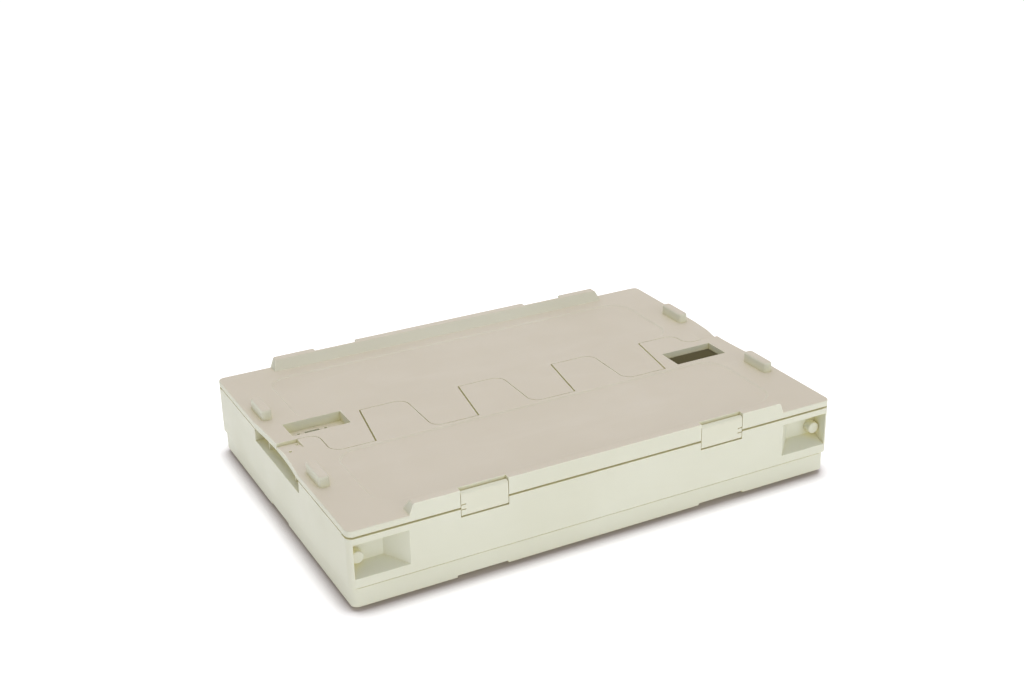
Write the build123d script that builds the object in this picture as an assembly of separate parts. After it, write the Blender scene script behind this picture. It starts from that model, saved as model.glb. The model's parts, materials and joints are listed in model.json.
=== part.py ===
from build123d import *
import os

# Folding stacking crate with a two-leaf lid, in millimetres, shown folded flat.
# X runs along the long sides, Y across the crate, +Z up, Z = 0 under the stacking foot.
# Except for the ends of the lid seam, the crate looks the same after a half turn about Z,
# so the back and left pieces are half-turn copies of the front and right ones.

# overall sizes
LENGTH = 530.0
WIDTH = 370.0
HALF_L = LENGTH / 2
HALF_W = WIDTH / 2
CORNER_R = 7.0
WALL = 3.0
CELL_RIB = 2.0
GAP = 0.3

# base tray
FOOT_L = 480.0
FOOT_W = 326.0
FOOT_H = 5.0
FLOOR_T = 3.0
BASE_TOP = 24.0
BASE_INSET = 2.0
BASE_NOTCH_H = 2.0
BASE_NOTCH_DEPTH = 7.0
SIDE_NOTCH_X0 = 107.0
SIDE_NOTCH_X1 = 160.0
END_NOTCH_Y0 = -34.0
END_NOTCH_Y1 = 15.0
UPSTAND_TOP = 46.0
UPSTAND_HALF_W = 160.0
UPSTAND_X0 = 259.3
UPSTAND_X1 = 261.6

# top frame
FRAME_GAP = 1.8
FRAME_BOTTOM = BASE_TOP + FRAME_GAP
FRAME_TOP = 77.3
BAND_TOP = 76.0
BAND_W = 13.0
MOUTH_L = 488.0
MOUTH_W = 326.0

# lid leaves
LID_BOTTOM = FRAME_TOP + GAP
LID_TOP = 84.5
LID_SKIN = 3.0
LID_CHAMFER = 0.8
LID_ROUND = 1.2
RIB_TOP = 95.5
RIB_HALF_L = 205.0
RIB_END_SLOPE = 4.0
RIB_TOP_Y = -177.0
RIB_INNER_Y = -170.5
RIB_ROUND = 3.0
SEAM_GAP = 0.8
TOOTH_REACH = 36.0
TOOTH_PITCH = 112.0
TOOTH_LEAN = 6.0
TOOTH_ROUND = 12.0
LEAN_EXTRA = 0.5
END_TOOTH_X = 219.5
PANEL_DEPTH = 1.2
PANEL_EDGE_W = 1.8
PANEL_HALF_L = 222.0
PANEL_INNER_Y = -40.0
PANEL_OUTER_Y = -154.0
PANEL_CORNER_R = 25.0

# side panels: two per long side, stacked flat when folded
PANEL_T = 12.0
PANEL_L = 132.0
PANEL_SKIN = 2.5
SIDE_HALF_L = 257.0
FOLD_Y = -169.0
BASE_PIVOT_Z = 15.0
MID_PIVOT_Y = FOLD_Y + PANEL_L
MID_PIVOT_Z = BASE_PIVOT_Z + PANEL_T
TOP_PIVOT_Z = MID_PIVOT_Z + PANEL_T
LOWER_ROOT = 12.0
UPPER_ROOT = 12.0
FACE_GAP = 0.2

# hinge barrels and rods
BARREL_R = 5.5
BARREL_CLEAR = 5.8
ROD_R = 2.0
ROD_GROOVE = 2.6
RUNNING = 0.1
BARREL_IN = 10.0
BARREL_OUT = 24.0
BARREL_GAP = 0.4
BASE_STATIONS = (-200.0, -67.0, 67.0, 200.0)
MID_STATIONS = (-228.0, -114.0, 0.0, 114.0, 228.0)
TOP_STATIONS = (-170.0, -57.0, 57.0, 170.0)
BASE_ROD_HALF = 226.0
MID_ROD_HALF = 254.0
TOP_ROD_HALF = 196.0

# end panels, stowed flat under the lid
END_PIVOT_X = 253.0
END_PIVOT_Z = 51.0
END_TIP_X = 1.5
END_HALF_W = 162.5
END_BOSS_X = 238.0
END_PIN_R = 4.0
END_PIN_HEAD_R = 6.2
END_PIN_HEAD_L = 9.0
END_PIN_INNER_Y = 150.0

# pockets in the long faces, one near each corner
POCKET_IN_X = 206.0
POCKET_OUT_X = 260.0
POCKET_Y = 167.0
POCKET_BOTTOM = 35.0
POCKET_FLOOR_RISE = 7.0
POCKET_TOP = 70.0
POCKET_SLANT = 19.0
CORNER_BLOCK_X = 206.6

# hand slots in the end faces
SLOT_HALF_W = 63.0
SLOT_BOTTOM = 64.0
SLOT_FLOOR_T = 3.0
SLOT_RIB_Y = 38.0
LID_SCALLOP = 3.5
SCALLOP_R = (SLOT_HALF_W**2 + LID_SCALLOP**2) / (2 * LID_SCALLOP)

# lid hinge links
LINK_X = 130.5
LINK_HALF = 24.0
WINDOW_HALF = 24.6
LINK_R = 3.0
LINK_PIN_R = 1.5
LINK_PIN_HALF = 30.0
LINK_Y = -HALF_W + LINK_R
LINK_LOW_Z = 71.0
LINK_HIGH_Z = 90.0
LINK_SLIT_Z = (75.0, 80.0)

# stacking lugs on the lid
LUG_X0 = 246.0
LUG_X1 = 256.5
LUG_Y0 = 61.0
LUG_Y1 = 99.0

# tie pocket at the right end of a leaf and scoop at its left end
TIE_X0 = 180.0
TIE_X1 = 242.0
TIE_WALL = 1.2
TIE_FLOOR = 74.0
TIE_FLOOR_T = 2.0
TIE_SLIT_X0 = 206.0
TIE_SLIT_X1 = 222.0
TIE_SLIT_W = 3.0
TIE_SLIT_MARGIN = 8.0
TIE_HOLE_STEP = 6.5
HOLE_R = 1.6
SCOOP_X0 = -264.0
SCOOP_X1 = -240.0
SCOOP_W = 21.0
SCOOP_DEPTH = 3.5

# what differs between the leaves: y of the seam at either end, y of the tie pocket edges
# and the holes in the scoop, each leaf seen with its rib to the front
FRONT_LEAF = {
    "left_seam": 6.5,
    "right_seam": 9.5,
    "tie_high": -2.5,
    "tie_low": -34.0,
    "holes": [(-243.0, -1.0), (-255.0, -16.0)],
}
BACK_LEAF = {
    "left_seam": -9.5,
    "right_seam": -6.5,
    "tie_high": -14.0,
    "tie_low": -44.0,
    "holes": [(-256.0, -12.0)],
}


def block(x0, x1, y0, y1, z0, z1):
    """Box from its low corner to its high corner."""
    return Pos((x0 + x1) / 2, (y0 + y1) / 2, (z0 + z1) / 2) * Box(x1 - x0, y1 - y0, z1 - z0)


def slab(half_x, half_y, z0, z1, radius):
    """Plate centred on Z with rounded corners in plan."""
    return Pos(0, 0, z0) * extrude(RectangleRounded(2 * half_x, 2 * half_y, radius), z1 - z0)


def rod_x(x0, x1, y, z, radius):
    """Cylinder along X."""
    return Pos((x0 + x1) / 2, y, z) * Rot(0, 90, 0) * Cylinder(radius, x1 - x0)


def rod_y(y0, y1, x, z, radius):
    """Cylinder along Y."""
    return Pos(x, (y0 + y1) / 2, z) * Rot(90, 0, 0) * Cylinder(radius, y1 - y0)


def prism_x(profile, x0, x1):
    """Solid along X from a list of (y, z) corners."""
    face = make_face(Polyline(*profile, close=True))
    return extrude(Plane(origin=(x0, 0, 0), x_dir=(0, 1, 0), z_dir=(1, 0, 0)) * face, x1 - x0)


def half_turn(shape):
    """The same piece at the opposite side of the crate."""
    return Rot(0, 0, 180) * shape


def both_ways(shape):
    """A feature and its half-turn copy."""
    return [shape, half_turn(shape)]


def four_corners(shape):
    """A feature given in the corner +X, -Y, repeated in all four corners."""
    other = mirror(shape, Plane.YZ)
    return both_ways(shape) + both_ways(other)


def inner_spans(stations):
    """The single middle barrel of each hinge station."""
    return [(s - BARREL_IN, s + BARREL_IN) for s in stations]


def outer_spans(stations):
    """The two outer barrels of each hinge station."""
    near = BARREL_IN + BARREL_GAP
    spans = [(s - BARREL_OUT, s - near) for s in stations]
    spans += [(s + near, s + BARREL_OUT) for s in stations]
    return spans


def barrels(spans, y, z, radius):
    """One cylinder along X for each span."""
    return [rod_x(x0, x1, y, z, radius) for x0, x1 in spans]


def cells(x0, x1, y0, y1, z0, z1, columns, rows, rib):
    """A grid of hollows with ribs left between them."""
    wide = (x1 - x0 - rib * (columns - 1)) / columns
    deep = (y1 - y0 - rib * (rows - 1)) / rows
    found = []
    for i in range(columns):
        left = x0 + i * (wide + rib)
        for j in range(rows):
            low = y0 + j * (deep + rib)
            found.append(block(left, left + wide, low, low + deep, z0, z1))
    return found


def base_tray():
    """Shallow tray with a stacking foot, hinge brackets and two end upstands."""
    half_x = HALF_L - BASE_INSET
    half_y = HALF_W - BASE_INSET
    ledge = FOOT_H + WALL
    body = slab(half_x, half_y, FOOT_H, BASE_TOP, CORNER_R)
    body += slab(FOOT_L / 2, FOOT_W / 2, 0, FOOT_H, CORNER_R)
    body -= slab(half_x - WALL, half_y - WALL, ledge, BASE_TOP, CORNER_R - WALL)
    body -= slab(FOOT_L / 2 - WALL, FOOT_W / 2 - WALL, FLOOR_T, ledge, CORNER_R - WALL)
    stops = block(UPSTAND_X0, UPSTAND_X1, -UPSTAND_HALF_W, UPSTAND_HALF_W, ledge, UPSTAND_TOP)
    spans = outer_spans(BASE_STATIONS)
    low = FOLD_Y - BARREL_R
    high = FOLD_Y + BARREL_R
    brackets = [block(x0, x1, low, high, ledge, BASE_PIVOT_Z) for x0, x1 in spans]
    brackets += barrels(spans, FOLD_Y, BASE_PIVOT_Z, BARREL_R)
    for piece in brackets + [stops]:
        body += both_ways(piece)
    body -= both_ways(rod_x(-BASE_ROD_HALF, BASE_ROD_HALF, FOLD_Y, BASE_PIVOT_Z, ROD_R))
    notch_top = FOOT_H + BASE_NOTCH_H
    notch = block(SIDE_NOTCH_X0, SIDE_NOTCH_X1, -half_y, -half_y + BASE_NOTCH_DEPTH,
                  FOOT_H, notch_top)
    body -= four_corners(notch)
    end_notch = block(half_x - BASE_NOTCH_DEPTH, half_x, END_NOTCH_Y0, END_NOTCH_Y1,
                      FOOT_H, notch_top)
    body -= both_ways(end_notch)
    return body


def front_lower_panel():
    """Lower half of the front side, hinged to the base."""
    top = MID_PIVOT_Z - FACE_GAP
    outer = FOLD_Y + LOWER_ROOT
    inner = MID_PIVOT_Y - FACE_GAP
    body = block(-SIDE_HALF_L, SIDE_HALF_L, outer, inner, BASE_PIVOT_Z, top)
    body -= cells(-SIDE_HALF_L + WALL, SIDE_HALF_L - WALL, outer + WALL, inner - 2 * BARREL_R,
                  BASE_PIVOT_Z + PANEL_SKIN, top, 10, 2, CELL_RIB)
    body -= rod_x(-SIDE_HALF_L, SIDE_HALF_L, MID_PIVOT_Y, MID_PIVOT_Z, ROD_GROOVE)
    body -= barrels(inner_spans(MID_STATIONS), MID_PIVOT_Y, MID_PIVOT_Z, BARREL_CLEAR)
    for x0, x1 in inner_spans(BASE_STATIONS):
        body += block(x0, x1, FOLD_Y, outer + WALL, BASE_PIVOT_Z, top - WALL)
        body += rod_x(x0, x1, FOLD_Y, BASE_PIVOT_Z, BARREL_R)
    body += barrels(outer_spans(MID_STATIONS), MID_PIVOT_Y, MID_PIVOT_Z, BARREL_R)
    body -= rod_x(-BASE_ROD_HALF, BASE_ROD_HALF, FOLD_Y, BASE_PIVOT_Z, ROD_R + RUNNING)
    body -= rod_x(-MID_ROD_HALF, MID_ROD_HALF, MID_PIVOT_Y, MID_PIVOT_Z, ROD_R)
    return body


def front_upper_panel():
    """Upper half of the front side, hinged to the lower half and to the top frame."""
    low = MID_PIVOT_Z + FACE_GAP
    inner = MID_PIVOT_Y - FACE_GAP
    full = TOP_ROD_HALF + BARREL_IN
    body = block(-full, full, FOLD_Y + FACE_GAP, inner, low, TOP_PIVOT_Z)
    body += block(-SIDE_HALF_L, SIDE_HALF_L, FOLD_Y + UPPER_ROOT, inner, low, TOP_PIVOT_Z)
    body -= cells(-SIDE_HALF_L + WALL, SIDE_HALF_L - WALL, FOLD_Y + UPPER_ROOT + WALL,
                  inner - 2 * BARREL_R, low, TOP_PIVOT_Z - PANEL_SKIN, 10, 2, CELL_RIB)
    body -= rod_x(-SIDE_HALF_L, SIDE_HALF_L, MID_PIVOT_Y, MID_PIVOT_Z, ROD_GROOVE)
    body -= rod_x(-SIDE_HALF_L, SIDE_HALF_L, FOLD_Y, TOP_PIVOT_Z, ROD_GROOVE)
    body -= barrels(outer_spans(MID_STATIONS), MID_PIVOT_Y, MID_PIVOT_Z, BARREL_CLEAR)
    body -= barrels(outer_spans(TOP_STATIONS), FOLD_Y, TOP_PIVOT_Z, BARREL_CLEAR)
    body += barrels(inner_spans(MID_STATIONS), MID_PIVOT_Y, MID_PIVOT_Z, BARREL_R)
    body += barrels(inner_spans(TOP_STATIONS), FOLD_Y, TOP_PIVOT_Z, BARREL_R)
    body -= rod_x(-MID_ROD_HALF, MID_ROD_HALF, MID_PIVOT_Y, MID_PIVOT_Z, ROD_R + RUNNING)
    body -= rod_x(-TOP_ROD_HALF, TOP_ROD_HALF, FOLD_Y, TOP_PIVOT_Z, ROD_R + RUNNING)
    return body


def right_end_panel():
    """End wall that swings on two pins and stows flat under the lid."""
    half_t = PANEL_T / 2
    low = END_PIVOT_Z - half_t
    high = END_PIVOT_Z + half_t
    body = block(END_TIP_X, END_PIVOT_X, -END_HALF_W, END_HALF_W, low, high)
    body += rod_y(-END_HALF_W, END_HALF_W, END_PIVOT_X, END_PIVOT_Z, half_t)
    body -= cells(END_TIP_X + WALL, END_BOSS_X, -END_HALF_W + WALL, END_HALF_W - WALL,
                  low, high - PANEL_SKIN, 5, 6, CELL_RIB)
    for side in (-1, 1):
        inner, outer = sorted((side * (END_PIN_INNER_Y - 1), side * END_HALF_W))
        body -= rod_y(inner, outer, END_PIVOT_X, END_PIVOT_Z, END_PIN_R + RUNNING)
    return body


def corner_block():
    """Solid corner of the frame at +X, -Y, before its pocket is cut."""
    return block(CORNER_BLOCK_X, HALF_L - WALL, -HALF_W + WALL, -MOUTH_W / 2,
                 POCKET_BOTTOM - WALL, BAND_TOP)


def corner_pocket():
    """Pocket in the long face, slanted towards the middle of the crate and with a sloping floor."""
    outline = [
        (POCKET_IN_X, -HALF_W),
        (POCKET_OUT_X, -HALF_W),
        (POCKET_OUT_X, -POCKET_Y),
        (POCKET_IN_X + POCKET_SLANT, -POCKET_Y),
    ]
    face = make_face(Polyline(*outline, close=True))
    pocket = Pos(0, 0, POCKET_BOTTOM) * extrude(face, POCKET_TOP - POCKET_BOTTOM)
    profile = [
        (-HALF_W, POCKET_BOTTOM),
        (-POCKET_Y, POCKET_BOTTOM),
        (-POCKET_Y, POCKET_BOTTOM + POCKET_FLOOR_RISE),
    ]
    return pocket - prism_x(profile, POCKET_IN_X, POCKET_OUT_X)


def link_seat():
    """Thick part of the frame at +X, -Y that carries the lower pin of a hinge link."""
    half = LINK_PIN_HALF + 1
    return block(LINK_X - half, LINK_X + half, -HALF_W + WALL, LINK_Y + 2 * LINK_R + 1,
                 LINK_LOW_Z - LINK_R - WALL, BAND_TOP)


def link_window(low, high):
    """Space that a hinge link swings in, at +X, -Y."""
    inner_y = LINK_Y + LINK_R + GAP
    return block(LINK_X - WINDOW_HALF, LINK_X + WINDOW_HALF, -HALF_W - 1, inner_y, low, high)


def hand_slot():
    """Hollow behind the end face that the fingers reach into, at +X."""
    inner = MOUTH_L / 2 + WALL
    return block(inner, HALF_L + 1, -SLOT_HALF_W, SLOT_HALF_W, SLOT_BOTTOM, FRAME_TOP)


def hand_slot_shell():
    """Floor and side walls of the hand slot, at +X."""
    inner = MOUTH_L / 2
    half = SLOT_HALF_W + WALL
    return block(inner, HALF_L - WALL, -half, half, SLOT_BOTTOM - SLOT_FLOOR_T, BAND_TOP)


def top_frame():
    """Rectangular upper frame: outer skin, top web, inner walls, pockets and hinge lugs."""
    body = slab(HALF_L, HALF_W, FRAME_BOTTOM, BAND_TOP, CORNER_R)
    body += slab(HALF_L, HALF_W - BAND_W, BAND_TOP, FRAME_TOP, 2)
    body -= slab(HALF_L - WALL, HALF_W - WALL, FRAME_BOTTOM, FRAME_TOP - 1.5 * WALL, CORNER_R - WALL)
    long_wall = block(-CORNER_BLOCK_X, CORNER_BLOCK_X, -MOUTH_W / 2 - WALL, -MOUTH_W / 2,
                      TOP_PIVOT_Z + BARREL_R + 1.5, FRAME_TOP)
    end_wall = block(MOUTH_L / 2, MOUTH_L / 2 + WALL, -MOUTH_W / 2, MOUTH_W / 2,
                     END_PIVOT_Z + PANEL_T / 2 + WALL, FRAME_TOP)
    for piece in (long_wall, end_wall, hand_slot_shell()):
        body += both_ways(piece)
    spans = outer_spans(TOP_STATIONS)
    for x0, x1 in spans:
        lug = block(x0, x1, FOLD_Y - BARREL_R, FOLD_Y + BARREL_R, TOP_PIVOT_Z, FRAME_TOP - WALL)
        body += both_ways(lug + rod_x(x0, x1, FOLD_Y, TOP_PIVOT_Z, BARREL_R))
    body += four_corners(corner_block())
    body += four_corners(link_seat())
    body -= slab(MOUTH_L / 2, MOUTH_W / 2, FRAME_BOTTOM, FRAME_TOP, 2)
    body -= four_corners(corner_pocket())
    body -= four_corners(link_window(LINK_LOW_Z - LINK_R - GAP, FRAME_TOP))
    body -= both_ways(hand_slot())
    for y in (-SLOT_RIB_Y, SLOT_RIB_Y):
        stiffener = block(MOUTH_L / 2 + WALL, HALF_L - 2 * WALL, y - 1.2, y + 1.2,
                          SLOT_BOTTOM, BAND_TOP)
        body += both_ways(stiffener)
    body -= both_ways(rod_x(-TOP_ROD_HALF, TOP_ROD_HALF, FOLD_Y, TOP_PIVOT_Z, ROD_R))
    body -= four_corners(rod_x(LINK_X - LINK_PIN_HALF, LINK_X + LINK_PIN_HALF,
                               LINK_Y, LINK_LOW_Z, LINK_PIN_R))
    body -= four_corners(rod_y(-POCKET_Y, -MOUTH_W / 2, END_PIVOT_X, END_PIVOT_Z, END_PIN_R))
    return body


def seam_points(leaf):
    """Zigzag edge of a leaf from the left end to the right end.

    Each point is x, y and the radius of its corner. The leaning edges have sharp corners
    and the square edges between them have round ones."""
    square_x = [-END_TOOTH_X, -TOOTH_PITCH, 0, TOOTH_PITCH, END_TOOTH_X]
    lean_x = [-1.5 * TOOTH_PITCH, -TOOTH_PITCH / 2, TOOTH_PITCH / 2, 1.5 * TOOTH_PITCH]
    points = [
        (-HALF_L - SEAM_GAP / 2, leaf["left_seam"], 0),
        (-END_TOOTH_X, leaf["left_seam"], TOOTH_ROUND),
    ]
    for x, lean, next_x in zip(square_x, lean_x, square_x[1:]):
        points.append((x, -TOOTH_REACH, TOOTH_ROUND))
        points.append((lean + LEAN_EXTRA - TOOTH_LEAN, -TOOTH_REACH, 0))
        points.append((lean + LEAN_EXTRA + TOOTH_LEAN, TOOTH_REACH, 0))
        points.append((next_x, TOOTH_REACH, TOOTH_ROUND))
    points.append((END_TOOTH_X, leaf["right_seam"], TOOTH_ROUND))
    points.append((HALF_L + SEAM_GAP / 2, leaf["right_seam"], 0))
    return points


def leaf_outline(leaf):
    """Plan of a leaf with its rib to the front, half of the seam gap taken off the zigzag."""
    outer_x = HALF_L + SEAM_GAP / 2
    outer_y = HALF_W + SEAM_GAP / 2
    seam = seam_points(leaf)
    points = [(x, y) for x, y, radius in seam]
    points += [(outer_x, -outer_y), (-outer_x, -outer_y)]
    face = make_face(Polyline(*points, close=True))
    for x, y, radius in seam:
        if radius:
            face = fillet(face.vertices().sort_by_distance((x, y, 0))[0], radius)
    face = offset(face, -SEAM_GAP / 2)
    return face & RectangleRounded(LENGTH, WIDTH, CORNER_R)


def leaf_rib():
    """Raised rib along the outer edge of the front leaf, bevelled on its inner side and ends."""
    bottom = LID_TOP - 1
    points = [
        (-HALF_W, bottom),
        (-HALF_W, RIB_TOP),
        (RIB_TOP_Y, RIB_TOP),
        (RIB_INNER_Y, LID_TOP),
        (RIB_INNER_Y, bottom),
    ]
    face = make_face(Polyline(*points, close=True))
    face = fillet(face.vertices().sort_by_distance((-HALF_W, RIB_TOP, 0))[0], RIB_ROUND)
    face = fillet(face.vertices().sort_by_distance((RIB_TOP_Y, RIB_TOP, 0))[0], 2)
    profile = Plane(origin=(-RIB_HALF_L, 0, 0), x_dir=(0, 1, 0), z_dir=(1, 0, 0)) * face
    rib = extrude(profile, 2 * RIB_HALF_L)
    ends = [
        (-RIB_HALF_L, bottom),
        (-RIB_HALF_L, LID_TOP),
        (-RIB_HALF_L + RIB_END_SLOPE, RIB_TOP),
        (RIB_HALF_L - RIB_END_SLOPE, RIB_TOP),
        (RIB_HALF_L, LID_TOP),
        (RIB_HALF_L, bottom),
    ]
    side = make_face(Polyline(*ends, close=True))
    for corner in (ends[2], ends[3]):
        side = fillet(side.vertices().sort_by_distance((*corner, 0))[0], RIB_ROUND)
    envelope = Plane(origin=(0, 0, 0), x_dir=(1, 0, 0), z_dir=(0, -1, 0)) * side
    return rib & extrude(envelope, HALF_W)


def stacking_lug():
    """Rounded bar near the end of a leaf, at +X, -Y."""
    lug = block(LUG_X0, LUG_X1, -LUG_Y1, -LUG_Y0, LID_TOP - 1, RIB_TOP)
    lug = fillet(lug.edges().filter_by(Axis.Z), 3)
    return fillet(lug.faces().sort_by(Axis.Z)[-1].edges(), 2.5)


def tie_pocket(leaf, grow, low):
    """Hollow in the leaf for fingers and a seal, larger by grow all round."""
    return block(TIE_X0 - grow, TIE_X1 + grow, leaf["tie_low"] - grow, leaf["tie_high"] + grow,
                 low, LID_TOP)


def tie_floor_holes(leaf):
    """Slits in the floor of the tie pocket, with a small hole at both ends of each."""
    low = TIE_FLOOR - TIE_FLOOR_T
    middle = (low + TIE_FLOOR) / 2
    found = []
    for y in (leaf["tie_low"] + TIE_SLIT_MARGIN, leaf["tie_high"] - TIE_SLIT_MARGIN):
        found.append(block(TIE_SLIT_X0, TIE_SLIT_X1, y - TIE_SLIT_W / 2, y + TIE_SLIT_W / 2,
                           low, TIE_FLOOR))
        for x in (TIE_SLIT_X0 - TIE_HOLE_STEP, TIE_SLIT_X1 + TIE_HOLE_STEP):
            found.append(Pos(x, y, middle) * Cylinder(HOLE_R, TIE_FLOOR_T))
    return found


def leaf_skin(leaf):
    """Flat part of a leaf with its edges eased and its underside hollowed into cells."""
    body = Pos(0, 0, LID_BOTTOM) * extrude(leaf_outline(leaf), LID_TOP - LID_BOTTOM)
    bottom = body.faces().sort_by(Axis.Z)[0].edges()
    body = chamfer(bottom.filter_by(Axis.X).sort_by(Axis.Y)[0], LID_CHAMFER)
    top = body.faces().sort_by(Axis.Z)[-1].edges()
    rim = [e for e in top if e.center().Y < -HALF_W + 1 or abs(e.center().X) > HALF_L - 5]
    body = fillet(rim, LID_ROUND)
    body -= cells(-MOUTH_L / 2 + 2 * WALL, MOUTH_L / 2 - 2 * WALL, -MOUTH_W / 2 + WALL,
                  PANEL_INNER_Y - 2 * WALL, LID_BOTTOM, LID_TOP - LID_SKIN, 9, 3, CELL_RIB)
    return body


def link_space():
    """Windows for the two hinge links of a leaf and the holes for their upper pins."""
    window = link_window(LID_BOTTOM, RIB_TOP)
    found = [window, mirror(window, Plane.YZ)]
    found += [link_pin(side, LINK_HIGH_Z) for side in (-1, 1)]
    return found


def recessed_panel():
    """Shallow panel sunk into the top of a leaf, with sloping edges."""
    half_w = (PANEL_INNER_Y - PANEL_OUTER_Y) / 2
    floor = RectangleRounded(2 * (PANEL_HALF_L - PANEL_EDGE_W), 2 * (half_w - PANEL_EDGE_W),
                             PANEL_CORNER_R - PANEL_EDGE_W)
    mouth = RectangleRounded(2 * PANEL_HALF_L, 2 * half_w, PANEL_CORNER_R)
    centre = Pos(0, (PANEL_INNER_Y + PANEL_OUTER_Y) / 2, LID_TOP)
    return centre * loft([Pos(0, 0, -PANEL_DEPTH) * floor, mouth], ruled=True)


def scoop(leaf):
    """Finger scoop at the left end of the seam, deepest at the seam."""
    seam = leaf["left_seam"]
    profile = [
        (seam - SCOOP_W, LID_TOP),
        (seam + 1, LID_TOP),
        (seam + 1, LID_TOP - SCOOP_DEPTH),
        (seam, LID_TOP - SCOOP_DEPTH),
    ]
    return prism_x(profile, SCOOP_X0, SCOOP_X1)


def lid_leaf(leaf):
    """Lid leaf with its rib to the front: edge rib, lugs, tie pocket, scoop and link windows."""
    body = leaf_skin(leaf) + leaf_rib()
    lug = stacking_lug()
    body += [lug, mirror(lug, Plane.YZ)]
    body -= recessed_panel()
    body += tie_pocket(leaf, TIE_WALL, TIE_FLOOR - TIE_FLOOR_T)
    body -= tie_pocket(leaf, 0, TIE_FLOOR)
    body -= tie_floor_holes(leaf)
    body -= scoop(leaf)
    for x, y in leaf["holes"]:
        body -= Pos(x, y, (LID_TOP + LID_BOTTOM) / 2) * Cylinder(HOLE_R, LID_TOP - LID_BOTTOM)
    for side in (-1, 1):
        centre = side * (HALF_L - LID_SCALLOP + SCALLOP_R)
        body -= Pos(centre, 0, LID_TOP) * Cylinder(SCALLOP_R, 2 * (LID_TOP - LID_BOTTOM))
    return body - link_space()


def hinge_link(side):
    """Flat link with round ends and two pin holes, on the front at -X or +X."""
    centre = side * LINK_X
    x0 = centre - LINK_HALF
    x1 = centre + LINK_HALF
    body = block(x0, x1, LINK_Y - LINK_R, LINK_Y + LINK_R, LINK_LOW_Z, LINK_HIGH_Z)
    for z in (LINK_LOW_Z, LINK_HIGH_Z):
        body += rod_x(x0, x1, LINK_Y, z, LINK_R)
    for z in (LINK_LOW_Z, LINK_HIGH_Z):
        body -= rod_x(x0, x1, LINK_Y, z, LINK_PIN_R + RUNNING)
    outboard = x1 if side > 0 else x0
    for z in LINK_SLIT_Z:
        slit = block(outboard - 5, outboard + 5, LINK_Y - LINK_R, LINK_Y - LINK_R + 1.2, z, z + 1)
        body -= slit
    return body


def link_pin(side, z):
    """Steel pin through one end of a hinge link."""
    centre = side * LINK_X
    return rod_x(centre - LINK_PIN_HALF, centre + LINK_PIN_HALF, LINK_Y, z, LINK_PIN_R)


def end_panel_pin():
    """Headed pivot pin of the right end panel, seen in the front right pocket."""
    shank = rod_y(-POCKET_Y, -END_PIN_INNER_Y, END_PIVOT_X, END_PIVOT_Z, END_PIN_R)
    head = rod_y(-POCKET_Y - END_PIN_HEAD_L, -POCKET_Y, END_PIVOT_X, END_PIVOT_Z, END_PIN_HEAD_R)
    head = chamfer(head.faces().sort_by(Axis.Y)[0].edges(), 0.8)
    return shank + head


def sub_parts():
    """Every node of the crate by name."""
    base_rod = rod_x(-BASE_ROD_HALF, BASE_ROD_HALF, FOLD_Y, BASE_PIVOT_Z, ROD_R)
    mid_rod = rod_x(-MID_ROD_HALF, MID_ROD_HALF, MID_PIVOT_Y, MID_PIVOT_Z, ROD_R)
    top_rod = rod_x(-TOP_ROD_HALF, TOP_ROD_HALF, FOLD_Y, TOP_PIVOT_Z, ROD_R)
    parts = {"base_tray": base_tray(), "top_frame": top_frame()}
    parts["front_lid"] = lid_leaf(FRONT_LEAF)
    parts["back_lid"] = half_turn(lid_leaf(BACK_LEAF))
    front = {
        "lower_panel": front_lower_panel(),
        "upper_panel": front_upper_panel(),
        "base_hinge_rod": base_rod,
        "middle_hinge_rod": mid_rod,
        "top_hinge_rod": top_rod,
    }
    for side, place, opposite in ((-1, "left", "right"), (1, "right", "left")):
        pieces = {
            "hinge_link": hinge_link(side),
            "link_lower_pin": link_pin(side, LINK_LOW_Z),
            "link_upper_pin": link_pin(side, LINK_HIGH_Z),
        }
        for name, shape in pieces.items():
            parts[f"front_{place}_{name}"] = shape
            parts[f"back_{opposite}_{name}"] = half_turn(shape)
    for name, shape in front.items():
        parts[f"front_{name}"] = shape
        parts[f"back_{name}"] = half_turn(shape)
    parts["right_end_panel"] = right_end_panel()
    parts["left_end_panel"] = half_turn(parts["right_end_panel"])
    pin = end_panel_pin()
    parts["right_end_front_pin"] = pin
    parts["right_end_back_pin"] = mirror(pin, Plane.XZ)
    parts["left_end_back_pin"] = half_turn(pin)
    parts["left_end_front_pin"] = half_turn(mirror(pin, Plane.XZ))
    return parts


def main():
    os.makedirs("parts", exist_ok=True)
    for name, shape in sub_parts().items():
        export_step(shape, f"parts/{name}.step")


main()
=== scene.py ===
import json
import math

import bmesh
import bpy
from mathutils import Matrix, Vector

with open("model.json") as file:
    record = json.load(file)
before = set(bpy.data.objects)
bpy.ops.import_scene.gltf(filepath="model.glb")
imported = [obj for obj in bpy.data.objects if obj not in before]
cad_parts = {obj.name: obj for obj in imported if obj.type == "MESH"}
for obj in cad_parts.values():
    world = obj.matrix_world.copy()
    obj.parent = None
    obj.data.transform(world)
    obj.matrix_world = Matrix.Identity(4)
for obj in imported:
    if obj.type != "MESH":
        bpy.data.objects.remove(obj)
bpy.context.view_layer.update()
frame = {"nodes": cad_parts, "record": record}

# Folding crate of ivory polypropylene on a pale studio floor. Metres, +Z up, Z = 0 on the floor.

NODES = frame["nodes"]

# linear base colours
IVORY = (0.640, 0.650, 0.530)
LINK_IVORY = (0.640, 0.645, 0.520)
# painted light: a warmer, darker tone for faces turned up, standing in for how the overhead light falls
# on the lid top
TOP_FACE_PAINTED_TONE = (0.600, 0.552, 0.448)
STEEL_GREY = (0.560, 0.560, 0.540)

# light that the thin translucent plastic lets into gaps and pockets
GLOW_TINT = (0.95, 0.84, 0.48, 1.0)
GAP_GLOW = 0.09

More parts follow.
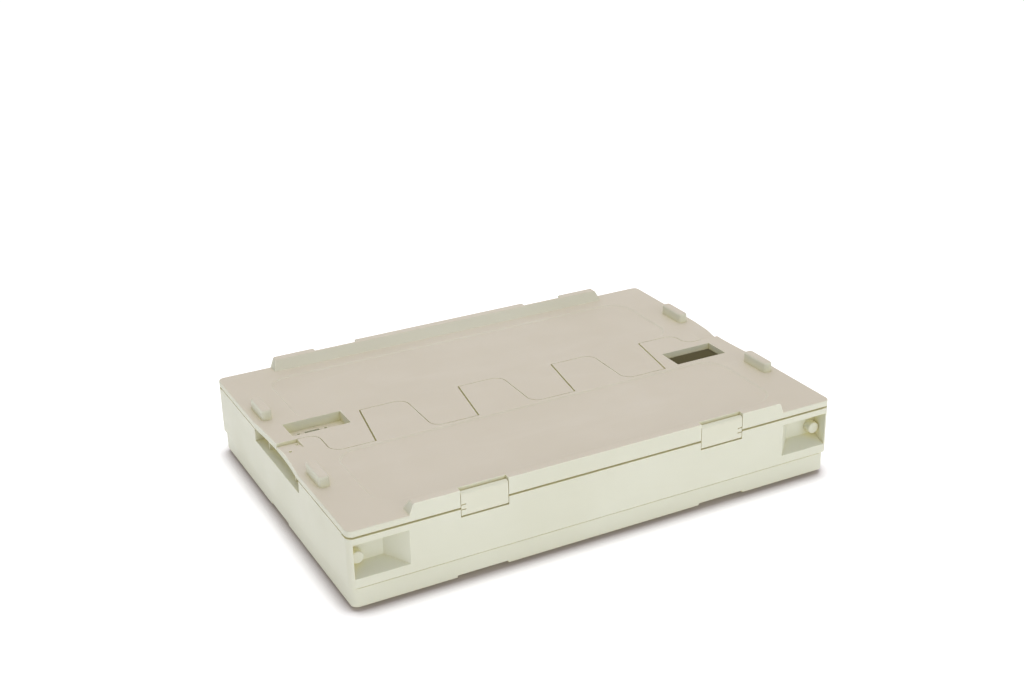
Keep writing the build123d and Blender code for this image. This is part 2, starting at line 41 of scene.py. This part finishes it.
# where the camera stands, how it is turned, and its lens
CAMERA_PLACE = (-0.6371, -1.2242, 0.7316)
CAMERA_TURN = (1.166, 0.020, -0.488)
CAMERA_LENS = 51.17
CAMERA_SHIFT = (-0.0025, -0.0013)

# contact shadow on the floor: how far it reaches and its tone, and the glow that keeps it pale
CONTACT_REACH = 0.020
CONTACT_TONE = (0.54, 0.50, 0.51, 1.0)
PAPER_GLOW = 0.38

# softening of the CAD meshes: weld distance, angles taken as flat and as sharp, edge radii
WELD_DISTANCE = 2e-5
FLAT_ANGLE = math.radians(0.4)
SHARP_ANGLE = math.radians(32)
NORMAL_WEIGHT = 80
SMALL_EDGE = 0.0004
EDGE_WIDTHS = {
    "base_tray": 0.0007,
    "top_frame": 0.0006,
    "front_lid": 0.0008,
    "back_lid": 0.0008,
}

# how far the edge wear with its painted highlight, the painted light in pockets and the painted shade in
# narrow gaps reach on the moulded plastic
EDGE_WEAR_AND_HIGHLIGHT_RADIUS = 0.0015
POCKET_REACH = 0.016
TIGHT_REACH = 0.0025
POLYPROPYLENE_IOR = 1.49

# studio floor: front edge, start of the bend, place and height of the wall, half width, steps in the bend
FLOOR_FRONT = -4.0
FLOOR_BEND = 5.0
WALL_Y = 7.0
WALL_TOP = 6.0
FLOOR_HALF = 6.0
BEND_STEPS = 24

# soft boxes: name, place, size, power, colour, all aimed at the middle of the crate
LIGHT_TARGET = (0.0, 0.0, 0.05)
SOFT_BOXES = [
    ("overhead_box", (0.2, 0.5, 2.4), (2.6, 2.2), 23.0, (1.0, 0.99, 0.985)),
    ("front_box", (0.5, -2.6, 1.1), (2.4, 1.6), 18.0, (1.0, 1.0, 0.99)),
    ("left_box", (-2.3, -0.6, 1.2), (1.6, 1.6), 2.4, (1.0, 0.99, 0.95)),
]
SKY_COLOUR = (0.99, 0.965, 1.0, 1.0)
SKY_STRENGTH = 0.58


class Graph:
    """Small helper that adds shader nodes and links to one material."""

    def __init__(self, name):
        self.material = bpy.data.materials.new(name)
        self.material.use_nodes = True
        self.tree = self.material.node_tree
        self.shader = self.tree.nodes["Principled BSDF"]
        coordinates = self.add("ShaderNodeTexCoord")
        self.place = coordinates.outputs["Object"]
        self.normal = coordinates.outputs["Normal"]

    def add(self, kind, inputs=None, **settings):
        node = self.tree.nodes.new(kind)
        for key, value in settings.items():
            setattr(node, key, value)
        for key, value in (inputs or {}).items():
            self.feed(node.inputs[key], value)
        return node

    def feed(self, socket, value):
        if isinstance(value, bpy.types.NodeSocket):
            self.tree.links.new(value, socket)
        else:
            socket.default_value = value

    def stretched(self, scale):
        node = self.add("ShaderNodeMapping", {"Vector": self.place, "Scale": scale})
        return node.outputs["Vector"]

    def noise(self, scale, detail=2.0, roughness=0.5, vector=None, distortion=0.0):
        inputs = {
            "Vector": vector or self.place,
            "Scale": scale,
            "Detail": detail,
            "Roughness": roughness,
            "Distortion": distortion,
        }
        return self.add("ShaderNodeTexNoise", inputs).outputs["Fac"]

    def ranged(self, value, low, high, out_low=0.0, out_high=1.0):
        inputs = {
            "Value": value,
            "From Min": low,
            "From Max": high,
            "To Min": out_low,
            "To Max": out_high,
        }
        return self.add("ShaderNodeMapRange", inputs).outputs["Result"]

    def math(self, operation, a, b):
        return self.add("ShaderNodeMath", {0: a, 1: b}, operation=operation).outputs[0]

    def mix(self, factor, a, b, blend="MIX"):
        node = self.add("ShaderNodeMix", data_type="RGBA", blend_type=blend)
        self.feed(node.inputs["Factor"], factor)
        self.feed(node.inputs[6], a)
        self.feed(node.inputs[7], b)
        return node.outputs[2]

    def bump(self, height, strength, distance, normal=None):
        inputs = {"Height": height, "Strength": strength, "Distance": distance}
        if normal is not None:
            inputs["Normal"] = normal
        return self.add("ShaderNodeBump", inputs).outputs["Normal"]


def rgba(colour, gain):
    """Colour made lighter or darker, with an alpha of 1."""
    return (*(min(1.0, c * gain) for c in colour), 1.0)


def tinted(colour, tint):
    """Colour times tint, with an alpha of 1."""
    return (*(c * t for c, t in zip(colour, tint)), 1.0)


def edge_mask(graph, radius):
    """1 on rounded outer and inner edges, 0 on flat faces, broken up by noise."""
    rounded = graph.add("ShaderNodeBevel", {"Radius": radius}, samples=4).outputs["Normal"]
    true = graph.add("ShaderNodeNewGeometry").outputs["Normal"]
    dot = graph.add("ShaderNodeVectorMath", {0: rounded, 1: true}, operation="DOT_PRODUCT")
    mask = graph.ranged(dot.outputs["Value"], 0.995, 0.86)
    return graph.math("MULTIPLY", mask, graph.ranged(graph.noise(70.0, 3.0), 0.35, 0.65))


def crevice_mask(graph, distance):
    """1 deep in gaps and pockets, 0 on open faces."""
    open_sky = graph.add("ShaderNodeAmbientOcclusion", {"Distance": distance}, samples=6)
    return graph.ranged(open_sky.outputs["AO"], 0.72, 0.20)


def moulded(name, colour, grain_depth, sheen_rough, paint_top_tone=False):
    """Moulded polypropylene: cloudy colour, scuffed edges with a painted highlight, painted light and
    glow in pockets, painted shade in narrow gaps, a painted top tone when asked, fine mould grain.
    """
    graph = Graph(name)
    cloud = graph.ranged(graph.noise(9.0, 3.0, 0.55), 0.3, 0.7)
    dull = tinted(colour, (0.975, 0.970, 0.955))
    clean = tinted(colour, (1.02, 1.02, 1.025))
    base = graph.mix(cloud, dull, clean)
    # painted light: faces that turn up blend into the darker, warmer top tone, for how light falls on
    # tops
    if paint_top_tone:
        up = graph.add("ShaderNodeSeparateXYZ", {"Vector": graph.normal}).outputs["Z"]
        dull = tinted(TOP_FACE_PAINTED_TONE, (0.98, 0.975, 0.965))
        clean = tinted(TOP_FACE_PAINTED_TONE, (1.015, 1.015, 1.02))
        base = graph.mix(graph.ranged(up, 0.35, 0.97), base, graph.mix(cloud, dull, clean))
    flow = graph.noise(16.0, 4.0, 0.6, graph.stretched((0.35, 1.3, 1.0)), 0.6)
    base = graph.mix(graph.ranged(flow, 0.52, 0.78, 0.0, 0.05), base, (1.0, 1.0, 0.99, 1.0))
    # edges made lighter, partly as wear and partly as a painted highlight on the rounded edges
    edge_wear_and_highlight = graph.math("MULTIPLY", edge_mask(graph, EDGE_WEAR_AND_HIGHLIGHT_RADIUS), 0.75)
    base = graph.mix(edge_wear_and_highlight, base, rgba(colour, 1.22))
    # painted light in pockets and recesses: a lighter, yellower colour and a faint glow, standing in for
    # light bounced inside the ivory plastic and let through it
    pocket_painted_light = graph.math("MULTIPLY", crevice_mask(graph, POCKET_REACH), 0.85)
    base = graph.mix(pocket_painted_light, base, tinted(colour, (1.04, 0.98, 0.70)))
    graph.shader.inputs["Emission Color"].default_value = GLOW_TINT
    graph.feed(graph.shader.inputs["Emission Strength"], graph.math("MULTIPLY", pocket_painted_light, GAP_GLOW))
    # painted shade: narrow gaps between parts are darkened towards brown-yellow, where shade falls
    narrow_gap_painted_shade = graph.math("MULTIPLY", crevice_mask(graph, TIGHT_REACH), 0.80)
    base = graph.mix(narrow_gap_painted_shade, base, tinted(colour, (0.62, 0.56, 0.38)))
    scratch_noise = graph.noise(34.0, 5.0, 0.7, graph.stretched((1.0, 0.16, 1.0)), 1.6)
    scratch = graph.ranged(scratch_noise, 0.67, 0.74)
    base = graph.mix(graph.math("MULTIPLY", scratch, 0.18), base, rgba(colour, 1.15))
    graph.feed(graph.shader.inputs["Base Color"], base)

    patchy = graph.ranged(graph.noise(22.0, 4.0), 0.3, 0.7, sheen_rough - 0.06, sheen_rough + 0.08)
    rough = graph.math("ADD", patchy, graph.math("MULTIPLY", scratch, 0.12))
    graph.feed(graph.shader.inputs["Roughness"], rough)

    sink = graph.bump(graph.noise(26.0, 2.0), 0.25, 0.00018)
    grain = graph.bump(graph.noise(1500.0, 2.0, 0.6), grain_depth, 0.00010, sink)
    scored = graph.bump(scratch, 0.12, -0.00005, grain)
    graph.feed(graph.shader.inputs["Normal"], scored)
    graph.shader.inputs["IOR"].default_value = POLYPROPYLENE_IOR
    graph.shader.inputs["Specular IOR Level"].default_value = 0.42
    graph.shader.inputs["Subsurface Weight"].default_value = 0.06
    graph.shader.inputs["Subsurface Radius"].default_value = (1.0, 0.85, 0.55)
    graph.shader.inputs["Subsurface Scale"].default_value = 0.003
    return graph.material


def drawn_steel(name):
    """Bright drawn wire with fine lines along X and a few dull spots."""
    graph = Graph(name)
    lines = graph.noise(420.0, 3.0, 0.6, graph.stretched((0.02, 1.0, 1.0)))
    dull = graph.ranged(graph.noise(60.0, 4.0), 0.45, 0.7)
    base = graph.mix(lines, rgba(STEEL_GREY, 0.85), rgba(STEEL_GREY, 1.12))
    base = graph.mix(graph.math("MULTIPLY", dull, 0.3), base, (0.36, 0.33, 0.28, 1.0))
    graph.feed(graph.shader.inputs["Base Color"], base)
    rough = graph.math("ADD", graph.math("MULTIPLY", dull, 0.25), 0.24)
    graph.feed(graph.shader.inputs["Roughness"], rough)
    graph.feed(graph.shader.inputs["Normal"], graph.bump(lines, 0.2, 0.00005))
    graph.shader.inputs["Metallic"].default_value = 1.0
    return graph.material


def paint_nodes():
    """Gives every CAD node the material of its slot."""
    looks = {
        "base_shell": moulded("ivory_base", IVORY, 0.16, 0.46),
        "frame_shell": moulded("ivory_frame", IVORY, 0.14, 0.44),
        "lid_shell": moulded("ivory_lid", IVORY, 0.30, 0.50, paint_top_tone=True),
        "wall_panel": moulded("ivory_wall", IVORY, 0.20, 0.48),
        "hinge_plastic": moulded("ivory_hinge", LINK_IVORY, 0.08, 0.36),
        "steel": drawn_steel("drawn_steel"),
    }
    for row in frame["record"]["subparts"]:
        mesh = NODES[row["node"]].data
        mesh.materials.clear()
        mesh.materials.append(looks[row["material_slot"]])


def soften(node, width):
    """Welds the imported triangles, merges flat ones and rounds the sharp edges."""
    weld = node.modifiers.new("weld", "WELD")
    weld.merge_threshold = WELD_DISTANCE
    flat = node.modifiers.new("flat", "DECIMATE")
    flat.decimate_type = "DISSOLVE"
    flat.angle_limit = FLAT_ANGLE
    round_off = node.modifiers.new("edges", "BEVEL")
    round_off.width = width
    round_off.segments = 2
    round_off.limit_method = "ANGLE"
    round_off.angle_limit = SHARP_ANGLE
    round_off.use_clamp_overlap = True
    round_off.miter_outer = "MITER_ARC"
    round_off.harden_normals = False
    smooth = node.modifiers.new("shade", "WEIGHTED_NORMAL")
    smooth.keep_sharp = True
    smooth.weight = NORMAL_WEIGHT


def soften_nodes():
    """Softens every CAD node except the steel rods and pins."""
    for name, node in NODES.items():
        if "rod" in name or "link_lower_pin" in name or "link_upper_pin" in name:
            continue
        soften(node, EDGE_WIDTHS.get(name, SMALL_EDGE))
        for polygon in node.data.polygons:
            polygon.use_smooth = True


def studio_floor():
    """Pale floor that rises into a wall far behind, bent round a large radius."""
    mesh = bpy.data.meshes.new("studio_floor")
    build = bmesh.new()
    radius = WALL_Y - FLOOR_BEND
    profile = [(FLOOR_FRONT, 0.0), (FLOOR_BEND, 0.0)]
    for i in range(1, BEND_STEPS + 1):
        turn = i / BEND_STEPS * math.pi / 2
        profile.append((FLOOR_BEND + radius * math.sin(turn), radius * (1 - math.cos(turn))))
    profile.append((WALL_Y, WALL_TOP))
    rows = [[build.verts.new((x, y, z)) for x in (-FLOOR_HALF, FLOOR_HALF)] for y, z in profile]
    for low, high in zip(rows, rows[1:]):
        build.faces.new((low[0], low[1], high[1], high[0]))
    build.to_mesh(mesh)
    build.free()
    for polygon in mesh.polygons:
        polygon.use_smooth = True
    floor = bpy.data.objects.new("studio_floor", mesh)
    bpy.context.scene.collection.objects.link(floor)
    graph = Graph("studio_paper")
    tone = graph.ranged(graph.noise(1.2, 2.0), 0.3, 0.7)
    paper = graph.mix(tone, (0.93, 0.93, 0.94, 1.0), (0.95, 0.95, 0.955, 1.0))
    open_sky = graph.add("ShaderNodeAmbientOcclusion", {"Distance": CONTACT_REACH}, samples=12)
    fade = graph.ranged(open_sky.outputs["AO"], 0.50, 0.97)
    graph.feed(graph.shader.inputs["Base Color"], graph.mix(fade, CONTACT_TONE, paper))
    graph.shader.inputs["Emission Color"].default_value = (1.0, 1.0, 1.0, 1.0)
    graph.feed(graph.shader.inputs["Emission Strength"], graph.math("MULTIPLY", fade, PAPER_GLOW))
    graph.shader.inputs["Roughness"].default_value = 0.9
    graph.shader.inputs["Specular IOR Level"].default_value = 0.1
    mesh.materials.append(graph.material)


def soft_box(name, place, size, power, colour):
    """Rectangular area light aimed at the crate."""
    light = bpy.data.lights.new(name, "AREA")
    light.shape = "RECTANGLE"
    light.size, light.size_y = size
    light.energy = power
    light.color = colour
    holder = bpy.data.objects.new(name, light)
    holder.location = place
    aim = Vector(LIGHT_TARGET) - Vector(place)
    holder.rotation_euler = aim.to_track_quat("-Z", "Y").to_euler()
    bpy.context.scene.collection.objects.link(holder)


def light_studio():
    """Soft boxes and an even pale sky."""
    for box in SOFT_BOXES:
        soft_box(*box)
    world = bpy.data.worlds.new("studio")
    world.use_nodes = True
    sky = world.node_tree.nodes["Background"]
    sky.inputs["Color"].default_value = SKY_COLOUR
    sky.inputs["Strength"].default_value = SKY_STRENGTH
    bpy.context.scene.world = world


def place_camera():
    """Camera and a plain view transform."""
    data = bpy.data.cameras.new("camera")
    data.lens = CAMERA_LENS
    data.shift_x, data.shift_y = CAMERA_SHIFT
    data.clip_start = 0.01
    data.clip_end = 50.0
    camera = bpy.data.objects.new("camera", data)
    camera.location = CAMERA_PLACE
    camera.rotation_euler = CAMERA_TURN
    bpy.context.scene.collection.objects.link(camera)
    bpy.context.scene.camera = camera
    bpy.context.scene.view_settings.view_transform = "Standard"
    bpy.context.scene.view_settings.look = "None"


paint_nodes()
soften_nodes()
studio_floor()
light_studio()
place_camera()
